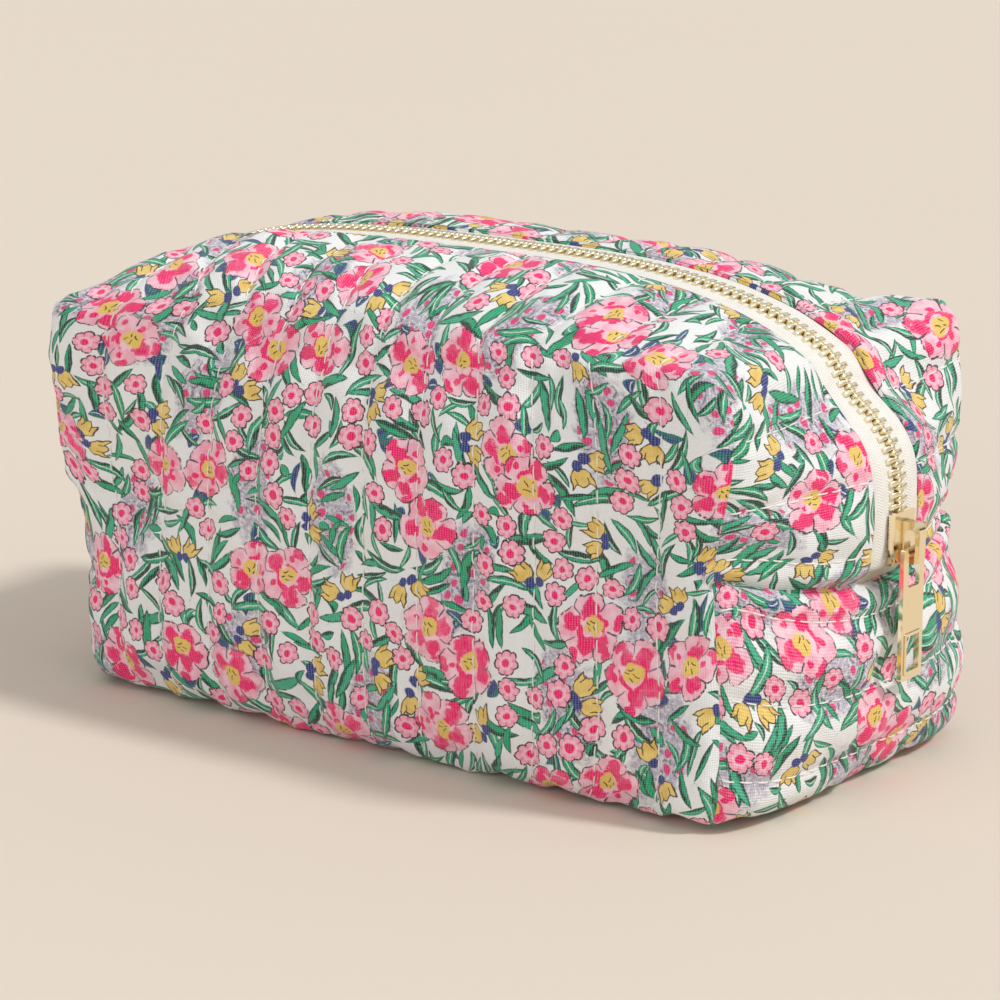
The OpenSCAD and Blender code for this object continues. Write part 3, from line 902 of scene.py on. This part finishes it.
def spire(x, y, s, grain, fine, under):
    e = x * x / 34.0 + y * y / 125.0
    wash = soft(1.2 - e - (grain - 0.5) * 1.6, 1.8, 0.0) * soft(fine, 2.2, -0.3)
    col = mix(wash, under, LILAC)
    n = node("TexNoise")
    n.noise_dimensions = "2D"
    n.inputs["Scale"].default_value = 1.3
    n.inputs["Detail"].default_value = 2
    link(pair(x * 0.35 + s * 50.0, y * 1.25), n.inputs["Vector"])
    scribble = near(V(n.outputs["Fac"]) - 0.5, 0.012, 35) * soft(1.1 - e, 3.0, 0.0)
    col = mix(scribble * 0.7, col, SMOKE)
    v = node("TexVoronoi")
    v.voronoi_dimensions = "2D"
    v.inputs["Scale"].default_value = 0.3
    v.inputs["Randomness"].default_value = 0.55
    link(pair(x + s * 300.0, y), v.inputs["Vector"])
    dist = V(v.outputs["Distance"])
    sep = node("SeparateColor")
    link(v.outputs["Color"], sep.inputs[0])
    on = op("GREATER_THAN", V(sep.outputs[0]), 0.25) * op("LESS_THAN", e, 0.85)
    col = mix(near(dist - 0.43, 0.045, 14) * on * soft(fine, 6.0, -2.4) * 0.85, col, SMOKE)
    return mix(soft(dist + (grain - 0.5) * 0.12, -14.0, 3.9) * on, col, srgb(0.90, 0.24, 0.50))


def new_material(name, rough, **inputs):
    """A material and its shader; an input's name has _ for a space."""
    mat = bpy.data.materials.new(name)
    mat.use_nodes = True
    V.tree = mat.node_tree
    b = mat.node_tree.nodes["Principled BSDF"]
    for k, v in {"Roughness": rough, **inputs}.items():
        b.inputs[k.replace("_", " ")].default_value = v
    return mat, b


def texture(kind, vec, dims="2D", **inputs):
    n = node("Tex" + kind)
    if hasattr(n, "noise_dimensions"):
        n.noise_dimensions = dims
    for k, v in inputs.items():
        n.inputs[k].default_value = v
    if vec is not None:
        link(vec, n.inputs["Vector"])
    return n


def noise(vec, scale, detail):
    return V(texture("Noise", vec, Scale=scale, Detail=detail).outputs["Fac"])


def bump(bsdf, height, strength, distance):
    n = node("Bump")
    n.inputs["Strength"].default_value = strength
    n.inputs["Distance"].default_value = distance
    link(height.out if isinstance(height, V) else height, n.inputs["Height"])
    link(n.outputs[0], bsdf.inputs["Normal"])


def cloth_mm():
    """The flat cloth's coordinates in mm: the vector and its two numbers."""
    uvn = node("UVMap")
    uvn.uv_map = "Cloth"
    scaled = node("VectorMath")
    scaled.operation = "SCALE"
    scaled.inputs["Scale"].default_value = 1000.0
    link(uvn.outputs[0], scaled.inputs[0])
    sep = node("SeparateXYZ")
    link(scaled.outputs[0], sep.inputs[0])
    return scaled.outputs[0], V(sep.outputs[0]), V(sep.outputs[1])


GROUPS = {fn.__name__: motif_group("motif_" + fn.__name__, fn) for fn in (spire, leaf, bud, posy, bloom)}
RIB, PICK = 0.72, 0.62  # spacing of the cotton's threads, in mm


def printed_cotton():
    sheen = {"Sheen_Weight": 0.22, "Sheen_Roughness": 0.4}
    mat, b = new_material("printed_cotton", 0.82, Specular_IOR_Level=0.28, **sheen)
    mm, u, v = cloth_mm()
    wob = texture("Noise", mm, Scale=0.22, Detail=2.0)
    grain = noise(mm, 0.30, 2.0)
    fine = noise(mm, 0.85, 1.0)
    shift = node("VectorMath")
    shift.operation = "MULTIPLY_ADD"
    link(wob.outputs["Color"], shift.inputs[0])
    shift.inputs[1].default_value = (1.5, 1.5, 0)
    shift.inputs[2].default_value = (-0.75, -0.75, 0)
    col = mix(noise(mm, 0.05, 2.0), srgb(0.932, 0.945, 0.952), srgb(0.956, 0.965, 0.970))
    for k in SLOTS:
        a = node("Attribute")
        a.attribute_name = k
        g = node("Group")
        g.node_tree = GROUPS[k[:-2]]
        if k.startswith("leaf"):
            link(a.outputs["Vector"], g.inputs["At"])
        else:
            add = node("VectorMath")
            add.operation = "ADD"
            link(a.outputs["Vector"], add.inputs[0])
            link(shift.outputs[0], add.inputs[1])
            link(add.outputs[0], g.inputs["At"])
        link(grain.out, g.inputs["Grain"])
        link(fine.out, g.inputs["Fine"])
        if hasattr(col, "is_output"):
            link(col, g.inputs["Under"])
        col = g.outputs["Color"]
    # Plain weave: ribs round the girth, with finer crossing threads
    rib = op("SINE", u * (2 * math.pi / RIB) + op("SINE", v * 0.9) * 0.5)
    pick = op("SINE", v * (2 * math.pi / PICK))
    slub = noise(mm, 1.1, 1.0)
    gap = soft(rib * 0.5 + pick * 0.35 + slub, 1.0, -0.35)
    col = mix(gap * 0.20, col, srgb(0.96, 0.95, 0.93))
    col = mix(soft(rib * pick + slub * 0.6, -0.5, 0.2) * 0.22, col, srgb(0.62, 0.56, 0.55), "MULTIPLY")
    link(col, b.inputs["Base Color"])
    bump(b, rib * 0.5 + pick * 0.35 + slub * 0.8, 0.55, 0.00018)
    return mat


PRINT = printed_cotton()


def weave_material(name, color, dark, period, rough, strength, herring=False):
    mat, b = new_material(name, rough, Sheen_Weight=0.15, Specular_IOR_Level=0.25)
    mm, u, v = cloth_mm()
    if herring:
        zig = op("PINGPONG", v / 2.4, 1.0)
        rib = op("SINE", (u + zig * 1.1) * (2 * math.pi / period))
    else:
        rib = op("SINE", u * (2 * math.pi / period)) * 0.6 + op("SINE", v * (2 * math.pi / period)) * 0.6
    grain = noise(mm, 0.25, 3.0)
    col = mix(soft(rib * 0.35 + grain, 1.0, 0.0), dark, color)
    link(col, b.inputs["Base Color"])
    bump(b, rib + grain * 0.7, strength, 0.00012)
    return mat


LINING = weave_material("lining_cloth", srgb(0.93, 0.90, 0.83), srgb(0.86, 0.81, 0.72), 0.6, 0.8, 0.5)
TAPE = weave_material("zip_tape_cloth", srgb(0.972, 0.968, 0.95), srgb(0.91, 0.90, 0.87), 0.8, 0.75, 0.5, True)


def thread_material():
    mat, b = new_material("quilting_thread", 0.55, Sheen_Weight=0.3)
    tc = node("TexCoord")
    n = texture("Noise", tc.outputs["Object"], "3D", Scale=900.0, Detail=2.0)
    link(mix(V(n.outputs["Fac"]), srgb(0.90, 0.89, 0.87), srgb(0.99, 0.985, 0.97)), b.inputs["Base Color"])
    bump(b, n.outputs["Fac"], 0.4, 0.0001)
    return mat


def gold(name, bright, shade_and_tone_color, rough, scratch):
    mat, b = new_material(name, rough, Metallic=1.0)
    tc = node("TexCoord")
    n = texture("Noise", tc.outputs["Object"], "3D", Scale=160.0, Detail=4.0)
    st = node("Mapping")
    st.inputs["Scale"].default_value = (1.0, 1.0, 0.12)
    link(tc.outputs["Object"], st.inputs["Vector"])
    fineline = texture("Noise", st.outputs["Vector"], "3D", Scale=2600.0, Detail=2.0)
    # Painted shade: an ambient occlusion node darkens the gold toward its shaded colour in crevices and
    # hollows, and a noise adds random tone
    ao = node("AmbientOcclusion")
    ao.inputs["Distance"].default_value = 0.0016
    ao.samples = 6
    crevice_shade_and_tone = soft(V(ao.outputs["AO"]) + V(n.outputs["Fac"]) * 0.3, 1.4, -0.35)
    link(mix(crevice_shade_and_tone, shade_and_tone_color, bright), b.inputs["Base Color"])
    r = V(n.outputs["Fac"]) * 0.12 + V(fineline.outputs["Fac"]) * scratch + (rough - 0.06 - scratch / 2)
    link(r.out, b.inputs["Roughness"])
    bump(b, V(fineline.outputs["Fac"]) * 0.5 + V(n.outputs["Fac"]), 0.12, 0.0001)
    return mat


THREAD = thread_material()
# The second colour of each gold is the painted shade in its crevices, mixed in with random tone
PALE = gold("pale_gold_plate", srgb(0.995, 0.965, 0.85), srgb(0.88, 0.79, 0.57), 0.36, 0.10)
BRIGHT = gold("bright_gold_plate", srgb(0.995, 0.93, 0.785), srgb(0.67, 0.51, 0.27), 0.15, 0.08)


# ---- the quilt's three cuts
def take(quads):
    """The points that quads use, and the quads over those points alone."""
    used, inv = np.unique(quads, return_inverse=True)
    return used, inv.reshape(-1, 4)


def mouth_edge(used):
    """The cloth's edge along the mouth, as points in order from the right end to the left."""
    ids = [i for i, w in enumerate(used) if x2["mouth"][w] > 0.999]
    ids.sort(key=lambda i: math.atan2(x2["rest"][used[i], 2] - SEAM_Z, x2["rest"][used[i], 0]))
    return ids


OFFSETS = [(0.4, 0.18), (0.62, 0.6), (0.5, 1.1), (0.0, 1.45), (-1.8, 1.75), (-4.5, 1.9)]
ARC = along([(0, 0), *OFFSETS])


def hem(way, pts, poly, uv, used):
    """Evens out the mouth's edge in pts and rolls it in and under, by OFFSETS.

    Gives the added points, faces and corner uv, and the face of poly that each added face goes on from.
    """
    ids = mouth_edge(used)
    edge, nor = pts[ids], n2[used][ids]
    for _ in range(60):
        edge[1:-1] = (edge[:-2] + 2 * edge[1:-1] + edge[2:]) / 4
        nor[1:-1] = (nor[:-2] + 2 * nor[1:-1] + nor[2:]) / 4
    nor = unit(nor)
    pts[ids] = edge
    inward = np.zeros_like(edge)
    inward[:, 1] = -way
    inward -= (inward * nor).sum(1, keepdims=True) * nor
    run = along(edge)
    place = {v: i for i, v in enumerate(ids)}
    beside = {}
    for face, quad in enumerate(poly.tolist()):
        for k in range(4):
            a, b = quad[k], quad[(k + 1) % 4]
            if a in place and b in place:
                first, second = sorted((a, b), key=place.get)
                beside[frozenset((a, b))] = (face, quad.index(first), quad.index(second))
    more, added, uvs, parents = [], [], [], []
    last = list(ids)
    up = np.array([0, -way])
    for r, (a, b) in enumerate(OFFSETS):
        wob = 0.12 * noise2(run / 9 + 50, run * 0 + r)
        start = len(pts) + len(more)
        now = list(range(start, start + len(edge)))
        more += list(edge + inward * (a + wob)[:, None] - nor * b)
        for i in range(len(ids) - 1):
            quad = [last[i], last[i + 1], now[i + 1], now[i]]
            face, first, second = beside[frozenset((ids[i], ids[i + 1]))]
            ua, ub = uv[face][first], uv[face][second]
            quv = [ua + up * ARC[r], ub + up * ARC[r], ub + up * ARC[r + 1], ua + up * ARC[r + 1]]
            parents.append(face)
            added.append(quad if way < 0 else quad[::-1])
            uvs.append(quv if way < 0 else quv[::-1])
        last = now
    return np.array(more), np.array(added), np.array(uvs), parents


for tag in ("front", "rear", "base"):
    rows = np.nonzero(reg2 == tag)[0]
    used, poly = take(f2[rows])
    pts = p2[used].copy()
    uv = uv2[rows]
    rest = x2["rest"][used]
    if tag != "base":
        more, hem_poly, hem_uv, parents = hem(-1 if tag == "front" else 1, pts, poly, uv, used)
        pts, rest = np.concatenate([pts, more]), np.concatenate([rest, more])
        poly, uv = np.concatenate([poly, hem_poly]), np.concatenate([uv, hem_uv])
        rows = np.concatenate([rows, rows[parents]])
    ob = mesh_object("quilt_" + tag, pts, poly, PRINT, uv)
    ink_layers(ob.data, rows, uv)
    if tag == "base":
        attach(ob, "bag")
        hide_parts("lower_band", "lower_wadding")
    else:
        bend(ob, HALVES[tag], rest)
        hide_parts(tag + "_panel", tag + "_upper_band", tag + "_wadding", tag + "_upper_wadding")

# ---- lining: the inner shell
DEPTH = 4.3
n1 = point_normals(p1, f1)
inner = lean(skin(x1["cube"] / np.maximum(np.abs(x1["cube"]).max(1, keepdims=True), 1e-9), DEPTH))
slack = 0.5 * noise2(inner[:, 0] / 14 + 3, (inner[:, 1] + inner[:, 2]) / 12 + 8)
ears = smooth(0.35, 0.9, np.abs(x1["cube"]).prod(1)) * (x1["cube"][:, 2] > 0)
inner = inner - n1 * (slack + 7.0 * ears)[:, None]
inner = pinch(inner)
inner[:, 2] = np.maximum(inner[:, 2], DEPTH)
reg1 = np.repeat(region, 4)
for tag in ("front", "rear", "base"):
    rows = np.nonzero(reg1 == tag)[0]
    used, poly = take(f1[rows])
    ob = mesh_object("lining_" + tag, inner[used], poly[:, ::-1], LINING, uv1[rows][:, ::-1])
    if tag == "base":
        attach(ob, "bag")
        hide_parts("bottom_lining", "right_end_lining", "left_end_lining")
    else:
        bend(ob, HALVES[tag], x1["rest"][used])
        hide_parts(tag + "_lining", tag + "_upper_lining")

# ---- the zip's own path over the bag
bx = np.concatenate([np.ones(350), np.linspace(1, -1, 700), -np.ones(350)])
bz = np.concatenate([np.linspace(0, 1, 350), np.ones(700), np.linspace(1, 0, 350)])


def zip_line(y, d):
    """The line y mm from the middle and d mm below the skin, from the right end seam to the left."""
    yy = np.sign(y) * across(bx, bz, abs(y)) if y else np.zeros(len(bx))
    q = lean(skin(np.stack([bx, yy, bz], -1), d))
    q[:, 1] = y
    for _ in range(20):
        q[1:-1] = (q[:-2] + 2 * q[1:-1] + q[2:]) / 4
    return pinch(q)


centre_line = zip_line(0.0, CHAIN_D)
keep = np.concatenate([[True], np.linalg.norm(np.diff(centre_line, axis=0), axis=1) > 1e-6])
centre_line = centre_line[keep]
ZIP_RUN = along(centre_line)
ZIP_LEN = ZIP_RUN[-1]


def on_zip(s):
    """Point, unit tangent and outward normal of the chain's line at run s."""
    s = np.atleast_1d(s)
    p, after, before = (at_run(s + step, ZIP_RUN, centre_line) for step in (0, 1.5, -1.5))
    t = unit(after - before)
    return p, t, np.stack([t[:, 2], 0 * t[:, 0], -t[:, 0]], -1)


print("zip length", ZIP_LEN)
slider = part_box("slider_body")
# The chain begins inside the slider, on the right end
right_end = slice(0, len(centre_line) // 4)
CHAIN_FROM = float(np.interp(slider[0][2] * 1000 + 6.0, centre_line[right_end, 2], ZIP_RUN[right_end]))
CHAIN_TO = ZIP_LEN - 3.6

# Tapes: thick ribbons with a corded edge by the teeth, tucked under the rolled hems
TAPE_TOP = [(0.35, 1.75), (2.0, 1.6), (3.4, 1.5), (4.6, 1.4), (6.4, 1.4)]
TAPE_TOP += [(8.4, 1.45), (10.6, 1.75), (12.6, 2.4), (15.2, 2.8)]
TAPE_PROFILE = TAPE_TOP + [(y, d + 0.5) for y, d in TAPE_TOP[::-1]]
TAPE_POINTS = 260
TAPE_RUNS = np.linspace(1.0, ZIP_LEN - 0.5, TAPE_POINTS)
P, _, N = on_zip(TAPE_RUNS)
for tag, way in (("front", -1), ("rear", 1)):
    pts, uvs, poly = [], [], []
    for j, (y, d) in enumerate(TAPE_PROFILE):
        wave = 0.10 * noise2(TAPE_RUNS / 9 + (3 if way > 0 else 0), TAPE_RUNS * 0 + y / 5)
        wave = wave * min(1, (y - 1.5) / 4)
        spread = np.where(TAPE_RUNS < CHAIN_FROM + 4, (CHAIN_FROM + 4 - TAPE_RUNS) * 0.10, 0)
        q = P + N * (CHAIN_D - d + wave)[:, None]
        q[:, 1] = way * (y + spread * max(0, 1 - (y - 1.5) / 7))
        pts.append(q)
    pts = np.array(pts)
    m = len(TAPE_PROFILE)
    for j in range(m):
        k = (j + 1) % m
        for i in range(TAPE_POINTS - 1):
            a, b = j * TAPE_POINTS + i, k * TAPE_POINTS + i
            quad = [a, a + 1, b + 1, b]
            yj, yk = TAPE_PROFILE[j][0], TAPE_PROFILE[k][0]
            quv = [(TAPE_RUNS[i], yj), (TAPE_RUNS[i + 1], yj), (TAPE_RUNS[i + 1], yk), (TAPE_RUNS[i], yk)]
            poly.append(quad if way > 0 else quad[::-1])
            uvs.append(quv if way > 0 else quv[::-1])
    flatp = pts.reshape(-1, 3)
    ob = mesh_object("zip_tape_" + tag, flatp, poly, TAPE, uvs)
    close(ob)
    bend(ob, HALVES[tag])
    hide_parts(tag + "_zip_tape")
    "quilt_" + tag
    "tape_" + tag
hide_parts("left_tape_end")

# ---- teeth
OUTLINE = [
    (-0.7, -3.9), (0.7, -3.9), (0.72, -1.6), (0.56, -1.1), (0.56, -0.6), (0.88, -0.25), (0.84, 0.55),
    (0.4, 1.0), (-0.4, 1.0), (-0.84, 0.55), (-0.88, -0.25), (-0.56, -0.6), (-0.56, -1.1), (-0.72, -1.6),
]
RINGS = [(-1.15, 0.78), (-0.85, 1.0), (0.72, 1.0), (0.98, 0.9), (1.12, 0.62)]
TOOTH_PITCH = 3.05


def tooth_mesh(way, runs):
    P, T, N = on_zip(runs)
    pts, poly = [], []
    for i in range(len(runs)):
        b0 = len(pts)
        jig = rng.normal(0, 0.04, 2)
        for h, k in RINGS:
            for a, y in OUTLINE:
                # The head carries a raised bump, the legs slope down to the tape
                hh = h + (0.1 if y > -0.8 and h > 0.9 else 0.0) - (0.15 if y < -2.5 and h > 0.5 else 0.0)
                q = P[i] + T[i] * (a * k + jig[0]) + N[i] * hh
                yy = (y + 1.1) * (0.5 + 0.5 * k) - 1.1
                q[1] = -way * yy
                pts.append(q)
        poly += tube(b0, len(RINGS), len(OUTLINE))
    return np.array(pts), poly


for tag, way in (("front", -1), ("rear", 1)):
    runs = np.arange(CHAIN_FROM + (0 if way < 0 else TOOTH_PITCH / 2), CHAIN_TO, TOOTH_PITCH)
    pts, poly = tooth_mesh(way, runs)
    ob = mesh_object("zip_teeth_" + tag, pts, poly, PALE)
    close(ob)
    ob.modifiers.new("edges", "EDGE_SPLIT").split_angle = math.radians(50)
    apply_all(ob)
    bend(ob, HALVES[tag])
    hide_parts(tag + "_zip_teeth")
    "teeth_" + tag
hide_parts("left_teeth_end")

# ---- quilting stitches: rise above the cloth and radius along each one
STITCH_RISE = [-0.35, 0.1, 0.24, 0.28, 0.24, 0.1, -0.35]
STITCH_RADIUS = [0.12, 0.21, 0.23, 0.23, 0.23, 0.21, 0.12]


def stitches(tag):
    out_p, out_f = [], []
    for ids, t in lines2:
        if t != tag:
            continue
        c, nn = p2[ids], n2[ids]
        run = along(c)
        s = rng.uniform(0.5, 3.0)
        while s < run[-1] - 2.0:
            length = rng.uniform(3.7, 4.5)
            e = min(s + length, run[-1] - 0.4)
            q = np.linspace(s, e, len(STITCH_RISE))
            at, nr = at_run(q, run, c), at_run(q, run, nn)
            tan = unit(np.gradient(at, axis=0))
            nr = unit(nr - (nr * tan).sum(1, keepdims=True) * tan)
            sd = np.cross(tan, nr)
            drift = rng.normal(0, 0.12)
            b0 = len(out_p)
            for i, (rise, rad) in enumerate(zip(STITCH_RISE, STITCH_RADIUS, strict=True)):
                o = at[i] + nr[i] * rise + sd[i] * drift
                for m in range(6):
                    a = m * math.pi / 3
                    out_p.append(o + rad * (math.cos(a) * nr[i] + math.sin(a) * sd[i]))
            out_f += tube(b0, len(STITCH_RISE), 6)
            s = e + rng.uniform(0.5, 0.9)
    return np.array(out_p), out_f


for tag in ("front", "rear", "base"):
    pts, poly = stitches(tag)
    if tag == "base":
        pts[:, 2] = np.maximum(pts[:, 2], 0.01)
    ob = mesh_object("quilting_thread_" + tag, pts, poly, THREAD)
    if tag == "base":
        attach(ob, "bag")
    else:
        bend(ob, HALVES[tag])

# ---- metal pieces from the frame, with softened edges
for name, mat, width in (
    ("slider_body", BRIGHT, 0.0006),
    ("slider_bridge", BRIGHT, 0.0008),
    ("pull_tab", BRIGHT, 0.0003),
    ("front_top_stop", BRIGHT, 0.0004),
    ("rear_top_stop", BRIGHT, 0.0004),
    ("bottom_stop", PALE, 0.0004),
):
    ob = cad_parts[name]
    ob.data.materials.clear()
    ob.data.materials.append(mat)
    bevel = ob.modifiers.new("softened", "BEVEL")
    bevel.width = width
    bevel.segments = 3
    bevel.limit_method = "ANGLE"
    bevel.angle_limit = math.radians(35)
    ob.modifiers.new("smooth", "WEIGHTED_NORMAL")
    ob.data.shade_smooth()

# ---- floor, lights, world and camera
def studio():
    mat, b = new_material("studio_paper", 0.9, Specular_IOR_Level=0.15)
    tc = node("TexCoord")
    n = texture("Noise", tc.outputs["Object"], "3D", Scale=2.0, Detail=2.0)
    paper = mix(V(n.outputs["Fac"]), srgb(0.876, 0.833, 0.782), srgb(0.882, 0.839, 0.788))
    link(paper, b.inputs["Base Color"])
    verts, polys, k = [], [], 25
    for i in range(k):
        for j in range(k):
            verts.append(((i / (k - 1) - 0.5) * 24000, (j / (k - 1) - 0.5) * 24000, -0.05))
    for i in range(k - 1):
        for j in range(k - 1):
            polys.append([i * k + j, (i + 1) * k + j, (i + 1) * k + j + 1, i * k + j + 1])
    ob = mesh_object("studio_sweep", verts, polys, mat)


studio()


def sun(name, toward, strength, angle, color):
    lamp = bpy.data.lights.new(name, "SUN")
    lamp.energy = strength
    lamp.angle = math.radians(angle)
    lamp.color = color
    ob = bpy.data.objects.new(name, lamp)
    ob.rotation_euler = Vector(toward).to_track_quat("-Z", "Y").to_euler()
    bpy.context.scene.collection.objects.link(ob)


sun("key", (-0.80, -0.26, -1.0), 1.70, 8, (1.0, 0.98, 0.95))
sun("fill", (0.05, 0.95, -0.25), 0.60, 50, (0.94, 0.975, 1.0))
world = bpy.data.worlds.new("studio")
world.use_nodes = True
V.tree = wt = world.node_tree
tc = node("TexCoord")
sep = node("SeparateXYZ")
link(tc.outputs["Generated"], sep.inputs[0])
gx, gy, gz = (V(o) for o in sep.outputs)
glow = soft(gz * 0.9 + gx * 0.35 + gy * 0.15, 1.1, 0.25)
low_band = near(gz - 0.09, 0.13, 5) * soft(gx - gy, -1.2, 0.9)
sky = mix(glow, srgb(0.72, 0.69, 0.66), srgb(0.97, 0.965, 0.96))
link(mix(low_band, sky, srgb(0.36, 0.31, 0.27)), wt.nodes["Background"].inputs[0])
wt.nodes["Background"].inputs[1].default_value = 0.73
bpy.context.scene.world = world
bpy.context.scene.view_settings.view_transform = "Standard"

cam = bpy.data.cameras.new("camera")
cam.sensor_width = 36
cam.lens = 120.2
cam.clip_end = 50
cam_object = bpy.data.objects.new("camera", cam)
bpy.context.scene.collection.objects.link(cam_object)
azimuth, elevation = math.radians(37.015), math.radians(14.442)
level = math.cos(elevation)
forward = Vector((-math.sin(azimuth) * level, math.cos(azimuth) * level, -math.sin(elevation)))
cam_object.location = (0.5563, -0.7403, 0.2985)
cam_object.rotation_euler = forward.to_track_quat("-Z", "Y").to_euler()
bpy.context.scene.camera = cam_object

bpy.context.view_layer.update()
